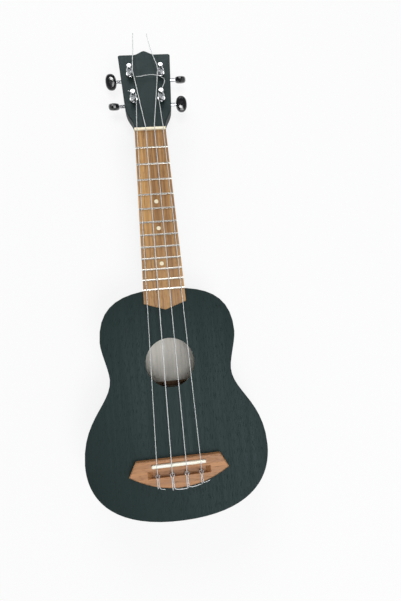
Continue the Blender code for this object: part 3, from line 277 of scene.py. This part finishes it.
def faces_middle(finish):
    """1 where the surface faces the body's middle."""
    normal = finish.add("TexCoord", output="Normal")
    turned_out = finish.add("VectorMath", {"operation": "DOT_PRODUCT"}, {0: normal, 1: finish.place()}, "Value")
    return turned_out < 0.0


def bone_finish(name, colour):
    """Polished bone: faint grain and a soft mottle."""
    finish = Finish(name, {"Subsurface Weight": 0.08, "Subsurface Scale": 0.001})
    mottle = finish.noise((260.0, 90.0, 90.0), 4.0)
    scratch = finish.noise((180.0, 2600.0, 2600.0), 2.0)
    shade = opaque([value * tint for value, tint in zip(colour, (0.93, 0.89, 0.80))])
    finish.bump(scratch, 0.00001)
    return finish.surface(finish.blend(finish.between(mottle, 0.35, 0.7), opaque(colour), shade),
                          0.24 + scratch * 0.14)


def metal_finish(name, colour, roughness, grain):
    """Polished metal with fine scratches along one axis and a faint haze."""
    finish = Finish(name, {"Metallic": 1.0})
    scratch = finish.noise(grain, 3.0)
    haze = finish.noise((140.0, 140.0, 140.0), 4.0, (0.6, 2.2, 1.3))
    dull = opaque([value * 0.86 for value in colour])
    finish.bump(scratch, 0.000006)
    return finish.surface(finish.blend(finish.between(haze, 0.45, 0.75), opaque(colour), dull),
                          roughness + scratch * 0.08 + haze * 0.08)


def button_finish(name, colour):
    """Glossy moulded plastic with a faint ripple and dust-fine scratches."""
    finish = Finish(name, {"Coat Weight": 0.5, "Coat Roughness": 0.04})
    ripple = finish.noise((220.0, 220.0, 220.0), 2.0)
    scratch = finish.noise((2400.0, 700.0, 2400.0), 2.0)
    finish.bump(ripple, 0.00004)
    return finish.surface(finish.blend(finish.between(scratch, 0.55, 0.8), opaque(colour),
                                       opaque([value + 0.02 for value in colour])), 0.10 + scratch * 0.10)


def nylon_finish(name, colour):
    """Clear nylon string: pale, a little see-through, with a drawn surface."""
    finish = Finish(name, {"Transmission Weight": 0.20, "IOR": 1.53})
    drawn = finish.noise((900.0, 60.0, 900.0), 2.0)
    finish.bump(drawn, 0.00001)
    return finish.surface(finish.blend(drawn, opaque(colour), opaque([value * 0.88 for value in colour])),
                          0.20 + drawn * 0.12)


def dress(material, *nodes):
    """Give a material to CAD nodes."""
    for node in nodes:
        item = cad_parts[node]
        if item.material_slots:
            item.material_slots[0].material = material
        else:
            item.data.materials.append(material)


def add_piece(name, form, material, body, matrix):
    """Link a mesh form at a place, as a named piece that rides on a body."""
    bmesh.ops.recalc_face_normals(form, faces=form.faces)
    mesh = bpy.data.meshes.new(name)
    form.to_mesh(mesh)
    form.free()
    mesh.shade_smooth()
    mesh.set_sharp_from_angle(angle=SHARP_EDGE)
    mesh.materials.append(material)
    piece = bpy.data.objects.new(name, mesh)
    bpy.context.scene.collection.objects.link(piece)
    piece.matrix_world = matrix
    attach(piece, body)
    return piece


def head_point(x, s, w):
    """A point of the headstock's frame in the instrument's frame."""
    along = Vector((0, math.cos(HEAD_TILT), -math.sin(HEAD_TILT)))
    out = Vector((0, math.sin(HEAD_TILT), math.cos(HEAD_TILT)))
    return HEAD_ORIGIN + Vector((x, 0, 0)) + along * s + out * w


def string_x(name, spread):
    """Where a string crosses the nut or the saddle, for a spread between the outer two."""
    return spread * (NAMES.index(name) / (len(NAMES) - 1) - 0.5)


def bridge_rear(x):
    """The bridge's rear edge, a shallow curve between its two tips."""
    return BRIDGE_REAR_Y + (BRIDGE_TIP_Y - BRIDGE_REAR_Y) * (x / BRIDGE_TIP_HALF) ** 2


def smooth_route(points, steps=4):
    """Points of a smooth curve through a route's own points."""
    points = [Vector(point) for point in points]
    ends = [points[0] * 2 - points[1]] + points + [points[-1] * 2 - points[-2]]
    route = []
    for before, start, end, after in zip(ends, ends[1:], ends[2:], ends[3:]):
        for step in range(steps):
            t = step / steps
            route.append(0.5 * (2 * start + (end - before) * t
                                + (2 * before - 5 * start + 4 * end - after) * t ** 2
                                + (3 * start - before - 3 * end + after) * t ** 3))
    return route + [points[-1]]


def incoming_z(name, y):
    """The height of a string's straight run between its tie hole and the saddle."""
    top = SADDLE_TOP + SEAT_GAP + STRING_DIAMETERS[name] / 2
    start = CHANNEL_REAR_Y + TIE_HOLE_LEAD
    return TIE_HOLE_Z + (top - TIE_HOLE_Z) * (y - start) / (SADDLE_Y - start)


def knot_route(name):
    """A string's bridge end: its free tail, back and forth over the tie block, and through its hole."""
    x = string_x(name, SPREAD_AT_SADDLE)
    radius = STRING_DIAMETERS[name] / 2
    clear = SEAT_GAP + radius
    part = radius + WINDING_SPARE / 2 + 0.0001
    ring = 2 * radius + WINDING_SPARE * 2.3
    rear = bridge_rear(x)
    top = BRIDGE_TOP + clear
    behind = rear - clear - 0.0010
    incoming = incoming_z(name, CHANNEL_REAR_Y + 0.0024)

    def tail_point(share, away, lift):
        """A point of the free tail, which lies behind the bridge's rear edge."""
        along = x + part + TAIL_ALONG_BRIDGE[name] * share
        return along, bridge_rear(along) - clear - away, BRIDGE_TOP + lift

    return smooth_route([
        tail_point(1.0, 0.0007, -0.0004),
        tail_point(0.6, 0.0005, 0.0),
        tail_point(0.25, 0.0001, 0.0005),
        (x + part + 0.0005, rear + 0.0004, top + 0.0003),
        (x + part, rear + 0.0030, top),
        (x + part, CHANNEL_REAR_Y - 0.0010, top),
        (x + ring * 0.95, CHANNEL_REAR_Y + 0.0014, incoming + 0.0009),
        (x + ring * 0.75, CHANNEL_REAR_Y + 0.0023, incoming - ring * 0.55),
        (x, CHANNEL_REAR_Y + 0.0024, incoming - ring),
        (x - ring * 0.75, CHANNEL_REAR_Y + 0.0023, incoming - ring * 0.55),
        (x - ring * 0.95, CHANNEL_REAR_Y + 0.0014, incoming + 0.0009),
        (x - part, CHANNEL_REAR_Y - 0.0010, top),
        (x - part, rear + 0.0030, top),
        (x - part * 0.9, rear + 0.0006, top + 0.0003),
        (x - part * 0.6, behind, BRIDGE_TOP - 0.0010),
        (x - part * 0.2, behind, TIE_HOLE_Z + 0.0012),
        (x, rear - clear - 0.0002, TIE_HOLE_Z + 0.0001),
        (x, rear + 0.0015, TIE_HOLE_Z),
    ], 3)


def winding_route(name, arrival):
    """A string's turns round its post and its free tail, from where it leaves the nut."""
    radius = STRING_DIAMETERS[name] / 2
    reach = POST_WAIST_RADIUS + WINDING_SPARE + radius
    pitch = 2 * radius + WINDING_SPARE
    sense = 1 if POST_X[name] < 0 else -1
    away = Vector((arrival[0] - POST_X[name], arrival[1] - POST_S[name]))
    start = math.atan2(away.y, away.x) + sense * math.acos(reach / away.length)
    home = 0.0 if sense > 0 else math.pi
    end = home + sense * TAIL_TURNS[name] * 2 * math.pi
    start += 2 * math.pi * round((home - start) / (2 * math.pi))
    steps = round(abs(end - start) / (2 * math.pi) * WINDING_STEPS)
    low = FLANGE_TOP + WAIST_OVER_FLANGE + WINDING_SPARE + radius
    points = []
    for step in range(steps + 1):
        angle = start + (end - start) * step / steps
        rise = pitch * abs(angle - start) / (2 * math.pi)
        points.append((POST_X[name] + reach * math.cos(angle), POST_S[name] + reach * math.sin(angle), low + rise))
    tail = smooth_route([points[-2], points[-1], *STRING_TAILS[name]], 3)
    return points[:-1] + [tuple(point) for point in tail[3:]]


def string_route(name):
    """One string from its tail at the bridge to its tail at the headstock."""
    radius = STRING_DIAMETERS[name] / 2
    saddle_x = string_x(name, SPREAD_AT_SADDLE)
    nut_x = string_x(name, SPREAD_AT_NUT)
    saddle_z = SADDLE_TOP + SEAT_GAP + radius
    nut_z = NUT_SLOT_FLOOR + SEAT_GAP + radius
    tilt_out = HEAD_ORIGIN - Vector((nut_x, NUT_BACK_Y, nut_z))
    leave_s = -tilt_out.y * math.cos(HEAD_TILT) + tilt_out.z * math.sin(HEAD_TILT)
    head = [head_point(*point) for point in winding_route(name, (nut_x, leave_s))]
    return knot_route(name) + [
        Vector((saddle_x, CHANNEL_REAR_Y + TIE_HOLE_LEAD, TIE_HOLE_Z)),
        Vector((saddle_x, SADDLE_Y - 0.0014, saddle_z - 0.0006)),
        Vector((saddle_x, SADDLE_Y - 0.0004, saddle_z)),
        Vector((saddle_x, SADDLE_Y + 0.0006, saddle_z)),
        Vector((nut_x, NUT_Y + 0.0002, nut_z)),
        Vector((nut_x, NUT_BACK_Y - 0.0006, nut_z - 0.0001)),
    ] + head


def screw_form(radius, height, shank_radius, shank_length):
    """A screw: a domed head with a cross recess, and a short shank below it."""
    form = bmesh.new()
    turn = [2 * math.pi * step / SCREW_STEPS for step in range(SCREW_STEPS)]
    cross_depth = height * 0.55
    rows = []
    for ring in range(1, SCREW_RINGS + 1):
        share = ring / SCREW_RINGS
        dome = height * (1 - SCREW_DOME + SCREW_DOME * math.sqrt(1 - share * share * 0.98))
        row = []
        for angle in turn:
            x, y = radius * share * math.cos(angle), radius * share * math.sin(angle)
            in_cross = share < CROSS_REACH and min(abs(x), abs(y)) < radius * CROSS_HALF_WIDTH
            row.append(form.verts.new((x, y, dome - cross_depth * in_cross)))
        rows.append(row)
    for z, reach in ((0.0, radius), (0.0, shank_radius), (-shank_length, shank_radius)):
        rows.append([form.verts.new((reach * math.cos(angle), reach * math.sin(angle), z)) for angle in turn])
    middle = form.verts.new((0, 0, height - cross_depth))
    for start, end in zip(rows[0], rows[0][1:] + rows[0][:1]):
        form.faces.new((middle, start, end))
    for inner, outer in zip(rows, rows[1:]):
        for step in range(SCREW_STEPS):
            after = (step + 1) % SCREW_STEPS
            form.faces.new((inner[step], outer[step], outer[after], inner[after]))
    form.faces.new(rows[-1][::-1])
    return form


def under_head(x, s, w, turn):
    """The place of a screw driven up into the headstock's underside."""
    tilt = Euler((-HEAD_TILT + math.pi, 0, 0)).to_matrix().to_4x4()
    return Matrix.Translation(head_point(x, s, w)) @ tilt @ Matrix.Rotation(math.radians(turn), 4, "Z")


class BodyLooks(PropertyGroup):
    """Finishes of the body and neck."""

    stain: FloatVectorProperty(name="Stain", description="Colour of the stained outside", subtype="COLOR",
                               default=(0.0050, 0.0130, 0.0102))
    stain_dark: FloatVectorProperty(name="Dark grain", description="Colour of the stain's dark fibres",
                                    subtype="COLOR", default=(0.0022, 0.0070, 0.0055))
    pore: FloatVectorProperty(name="Pores", description="Colour of the stain's open pores", subtype="COLOR",
                              default=(0.022, 0.040, 0.034))
    bare: FloatVectorProperty(name="Bare wood", description="Colour of the unfinished inside", subtype="COLOR",
                              default=(0.93, 0.90, 0.83))
    bars: FloatVectorProperty(name="Back bars", description="Colour of the bars on the back", subtype="COLOR",
                              default=(0.23, 0.12, 0.055))
    roughness: FloatProperty(name="Roughness", description="Roughness of the stained outside", min=0.0, max=1.0,
                             subtype="FACTOR", default=0.43)


class BoardLooks(PropertyGroup):
    """Finishes of the fretboard, frets, dots and nut."""

    board: FloatVectorProperty(name="Board", description="Light fibres of the fretboard", subtype="COLOR",
                               default=(0.56, 0.31, 0.105))
    streak: FloatVectorProperty(name="Streak", description="Dark streaks of the fretboard", subtype="COLOR",
                                default=(0.20, 0.088, 0.030))
    fret: FloatVectorProperty(name="Fret metal", description="Colour of the frets", subtype="COLOR",
                              default=(0.90, 0.87, 0.79))
    nut: FloatVectorProperty(name="Nut", description="Colour of the nut and dots", subtype="COLOR",
                             default=(0.90, 0.83, 0.63))


class BridgeLooks(PropertyGroup):
    """Finishes of the bridge and saddle."""

    bridge: FloatVectorProperty(name="Bridge", description="Light fibres of the bridge", subtype="COLOR",
                                default=(0.50, 0.235, 0.095))
    streak: FloatVectorProperty(name="Streak", description="Dark fibres of the bridge", subtype="COLOR",
                                default=(0.27, 0.12, 0.045))
    saddle: FloatVectorProperty(name="Saddle", description="Colour of the saddle", subtype="COLOR",
                                default=(0.93, 0.91, 0.80))


class TunerLooks(PropertyGroup):
    """Finishes of the tuners, and the sizes of their screws."""

    chrome: FloatVectorProperty(name="Chrome", description="Colour of the plated metal", subtype="COLOR",
                                default=(0.82, 0.83, 0.85))
    button: FloatVectorProperty(name="Button", description="Colour of the buttons", subtype="COLOR",
                                default=(0.010, 0.010, 0.012))
    screw_radius: FloatProperty(name="Screw radius", description="Radius of a plate screw's head", unit="LENGTH",
                                default=0.0020)
    screw_height: FloatProperty(name="Screw height", description="Height of a screw's head", unit="LENGTH",
                                default=0.0009)


class StringLooks(PropertyGroup):
    """Finish and fineness of the strings."""

    nylon: FloatVectorProperty(name="Nylon", description="Colour of the strings", subtype="COLOR",
                               default=(0.80, 0.82, 0.83))
    sides: IntProperty(name="Sides", description="Fineness of a string's round section", min=1, max=8, default=2)


class StageLooks(PropertyGroup):
    """Light and floor."""

    head_lamp: FloatProperty(name="Head lamp", description="Power of the lamp beyond the headstock", unit="POWER",
                             default=11.0)
    top_lamp: FloatProperty(name="Top lamp", description="Power of the lamp above the soundhole", unit="POWER",
                            default=11.0)
    side_lamp: FloatProperty(name="Side lamp", description="Power of the lamp beside the lower bout", unit="POWER",
                             default=8.5)
    floor: FloatVectorProperty(name="Floor", description="Colour of the floor", subtype="COLOR",
                               default=(0.90, 0.90, 0.90))


class UKULELE_OT_body(Operator):
    """Finish the soundboard, back, sides, neck and the frame inside"""

    bl_idname = "ukulele.body"
    bl_label = "Finish Body"

    def execute(self, context):
        """Give every wooden part of the body and neck its finish."""
        looks = context.scene.ukulele_body

        def stained(name, axis, inside=None):
            return wood(name, looks.stain, looks.stain_dark, axis, looks.roughness, 0.6, OPEN_PORE_DEPTH,
                        looks.pore, looks.bare, inside, STAIN_SPECULAR, STAIN_SHEEN)

        dress(stained("stained_soundboard", 1, lambda finish: facing(finish, 2, -1.0)), "soundboard")
        dress(stained("stained_back", 1, lambda finish: facing(finish, 2, 1.0)), "back")
        dress(stained("stained_sides", 1, faces_middle), "side_bass", "side_treble")
        dress(stained("stained_neck", 1), "neck")
        bare_dark = [value * 0.72 for value in looks.bare]
        for name, axis, nodes in (
                ("bare_blocks", 2, ("neck_block", "tail_block")),
                ("bare_linings", 1, ("top_lining_bass", "top_lining_treble", "back_lining_bass",
                                     "back_lining_treble", "bridge_plate")),
                ("bare_bars", 0, ("soundboard_brace_front", "soundboard_brace_rear"))):
            dress(wood(name, looks.bare, bare_dark, axis, 0.62, 0.3, FINE_PORE_DEPTH), *nodes)
        brown_dark = [value * 0.6 for value in looks.bars]
        dress(wood("brown_bars", looks.bars, brown_dark, 0, 0.60, 0.6, OPEN_PORE_DEPTH), "back_brace_front",
              "back_brace_rear")
        return {"FINISHED"}


class UKULELE_OT_fretboard(Operator):
    """Finish the fretboard, frets, dots and nut"""

    bl_idname = "ukulele.fretboard"
    bl_label = "Finish Fretboard"

    def execute(self, context):
        """Give the fretboard and everything set into it its finish."""
        looks = context.scene.ukulele_board
        dress(wood("streaked_board", looks.board, looks.streak, 1, 0.42, 0.55, OPEN_PORE_DEPTH), "fretboard")
        frets = [f"fret_{number}" for number in range(1, 13)]
        dress(metal_finish("fret_metal", looks.fret, 0.16, (60.0, 2600.0, 2600.0)), *frets)
        dress(bone_finish("bone_nut", looks.nut), "nut", "dot_5", "dot_7", "dot_10")
        return {"FINISHED"}


class UKULELE_OT_bridge(Operator):
    """Finish the bridge and saddle"""

    bl_idname = "ukulele.bridge"
    bl_label = "Finish Bridge"

    def execute(self, context):
        """Give the bridge and saddle their finish."""
        looks = context.scene.ukulele_bridge
        dress(wood("oiled_bridge", looks.bridge, looks.streak, 0, 0.44, 0.5, OPEN_PORE_DEPTH), "bridge")
        dress(bone_finish("bone_saddle", looks.saddle), "saddle")
        return {"FINISHED"}


class UKULELE_OT_tuners(Operator):
    """Finish the tuners and add their screws"""

    bl_idname = "ukulele.tuners"
    bl_label = "Finish Tuners"

    def execute(self, context):
        """Plate the metal, gloss the buttons and drive the plate and gear screws."""
        looks = context.scene.ukulele_tuners
        chrome = metal_finish("chrome", looks.chrome, 0.07, (900.0, 900.0, 900.0))
        black = button_finish("black_button", looks.button)
        for name in NAMES:
            dress(chrome, *(f"tuner_{name}_{piece}" for piece in ("plate", "bushing", "post", "worm_shaft")))
            dress(black, f"tuner_{name}_button")
            for number, offset in enumerate(PLATE_SCREWS_S, 1):
                place = under_head(POST_X[name], POST_S[name] + offset, PLATE_BOTTOM_W, 25.0 * number)
                add_piece(f"plate_screw_{name}_{number}",
                          screw_form(looks.screw_radius, looks.screw_height, *PLATE_SCREW_SHANK), chrome,
                          "instrument", place)
            place = under_head(POST_X[name], POST_S[name], GEAR_SCREW_W, 40.0)
            add_piece(f"gear_screw_{name}", screw_form(*GEAR_SCREW_SIZES), chrome, f"post_{name}",
                      place)
        return {"FINISHED"}


class UKULELE_OT_strings(Operator):
    """String the instrument"""

    bl_idname = "ukulele.strings"
    bl_label = "Make Strings"

    def execute(self, context):
        """Draw each string as one round tube along its route, in place of its CAD node."""
        looks = context.scene.ukulele_strings
        nylon = nylon_finish("clear_nylon", looks.nylon)
        for name in NAMES:
            curve = bpy.data.curves.new(f"nylon_string_{name}", "CURVE")
            curve.dimensions = "3D"
            curve.bevel_depth = STRING_DIAMETERS[name] / 2
            curve.bevel_resolution = looks.sides
            curve.use_fill_caps = True
            route = string_route(name)
            spline = curve.splines.new("POLY")
            spline.points.add(len(route) - 1)
            for point, place in zip(spline.points, route):
                point.co = (*place, 1.0)
            curve.materials.append(nylon)
            string = bpy.data.objects.new(f"nylon_string_{name}", curve)
            context.scene.collection.objects.link(string)
            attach(string, "instrument")
            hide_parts(f"string_{name}")
        return {"FINISHED"}


def add_lamp(name, watts, size, place, target):
    """A square soft lamp aimed at a point."""
    data = bpy.data.lights.new(name, "AREA")
    data.energy = watts
    data.size = size
    lamp = bpy.data.objects.new(name, data)
    lamp.location = place
    lamp.rotation_euler = (Vector(target) - Vector(place)).to_track_quat("-Z", "Y").to_euler()
    bpy.context.scene.collection.objects.link(lamp)


def floor_finish(colour):
    """A matt pale floor that shows nearly white and keeps a soft shadow."""
    finish = Finish("pale_floor", {"Roughness": 0.9, "Specular IOR Level": 0.1})
    mottle = finish.noise((9.0, 9.0, 9.0), 3.0)
    finish.surface(finish.blend(mottle, opaque(colour), opaque([value * 0.985 for value in colour])), 0.9)
    path = [finish.add("LightPath", output=f"Is {kind} Ray") for kind in ("Camera", "Glossy", "Transmission")]
    shown = finish.between(path[0] + path[1] + path[2], 0.0, 1.0) * FLOOR_SHOWN
    glow = finish.add("Emission", {}, {"Color": (1.0, 1.0, 1.0, 1.0), "Strength": 1.0})
    matt = Wire(finish, finish.shader.outputs["BSDF"])
    mixed = finish.add("MixShader", {}, {0: shown, 1: matt, 2: glow})
    finish.feed(finish.tree.nodes["Material Output"].inputs["Surface"], mixed)
    return finish.material


def add_world():
    """A plain studio surround, pale near the floor and darker overhead."""
    world = bpy.data.worlds.new("studio")
    world.use_nodes = True
    bpy.context.scene.world = world
    studio = NodeWork(world.node_tree)
    height = studio.add("SeparateXYZ", {}, {"Vector": studio.add("TexCoord", output="Generated")}, "Z")
    colour = studio.blend(studio.between(height, *SURROUND_HEIGHTS), SURROUND_LOW, SURROUND_HIGH)
    studio.feed(world.node_tree.nodes["Background"].inputs["Color"], colour)


class UKULELE_OT_stage(Operator):
    """Set the floor, lamps and camera"""

    bl_idname = "ukulele.stage"
    bl_label = "Set Stage"

    def execute(self, context):
        """Lay the floor, hang the lamps and aim the camera as in the photograph."""
        looks = context.scene.ukulele_stage
        form = bmesh.new()
        bmesh.ops.create_grid(form, x_segments=1, y_segments=1, size=FLOOR_HALF)
        mesh = bpy.data.meshes.new("floor")
        form.to_mesh(mesh)
        form.free()
        mesh.materials.append(floor_finish(looks.floor))
        floor = bpy.data.objects.new("floor", mesh)
        context.scene.collection.objects.link(floor)
        for name, (size, place, target) in LAMPS.items():
            add_lamp(name, getattr(looks, name), size, place, target)
        add_world()
        data = bpy.data.cameras.new("photo_camera")
        data.lens = CAMERA_LENS
        data.sensor_width = CAMERA_SENSOR
        data.clip_start, data.clip_end = CAMERA_CLIP
        camera = bpy.data.objects.new("photo_camera", data)
        camera.location = CAMERA_PLACE
        camera.rotation_euler = Euler([math.radians(turn) for turn in CAMERA_TURN])
        context.scene.collection.objects.link(camera)
        context.scene.camera = camera
        context.scene.view_settings.view_transform = "Standard"
        return {"FINISHED"}


class UKULELE_PT_panel(Panel):
    """Lists the pieces and their settings"""

    bl_idname = "UKULELE_PT_panel"
    bl_label = "Soprano Ukulele"
    bl_space_type = "VIEW_3D"
    bl_region_type = "UI"
    bl_category = "Ukulele"

    def draw(self, context):
        """Draw each group's settings above its operator."""
        for settings, kind, operator in GROUPS:
            box = self.layout.box()
            for prop in kind.__annotations__:
                box.prop(getattr(context.scene, settings), prop)
            box.operator(operator.bl_idname)


GROUPS = (
    ("ukulele_body", BodyLooks, UKULELE_OT_body),
    ("ukulele_board", BoardLooks, UKULELE_OT_fretboard),
    ("ukulele_bridge", BridgeLooks, UKULELE_OT_bridge),
    ("ukulele_tuners", TunerLooks, UKULELE_OT_tuners),
    ("ukulele_strings", StringLooks, UKULELE_OT_strings),
    ("ukulele_stage", StageLooks, UKULELE_OT_stage),
)


def register():
    """Register the settings, the operators and the panel."""
    for settings, kind, operator in GROUPS:
        bpy.utils.register_class(kind)
        bpy.utils.register_class(operator)
        setattr(bpy.types.Scene, settings, PointerProperty(type=kind))
    bpy.utils.register_class(UKULELE_PT_panel)


def unregister():
    """Remove what register added."""
    bpy.utils.unregister_class(UKULELE_PT_panel)
    for settings, kind, operator in reversed(GROUPS):
        delattr(bpy.types.Scene, settings)
        bpy.utils.unregister_class(operator)
        bpy.utils.unregister_class(kind)


def main():
    """Build the looks in order."""
    register()
    bpy.ops.ukulele.body()
    bpy.ops.ukulele.fretboard()
    bpy.ops.ukulele.bridge()
    bpy.ops.ukulele.tuners()
    bpy.ops.ukulele.strings()
    bpy.ops.ukulele.stage()


if __name__ == "__main__":
    main()
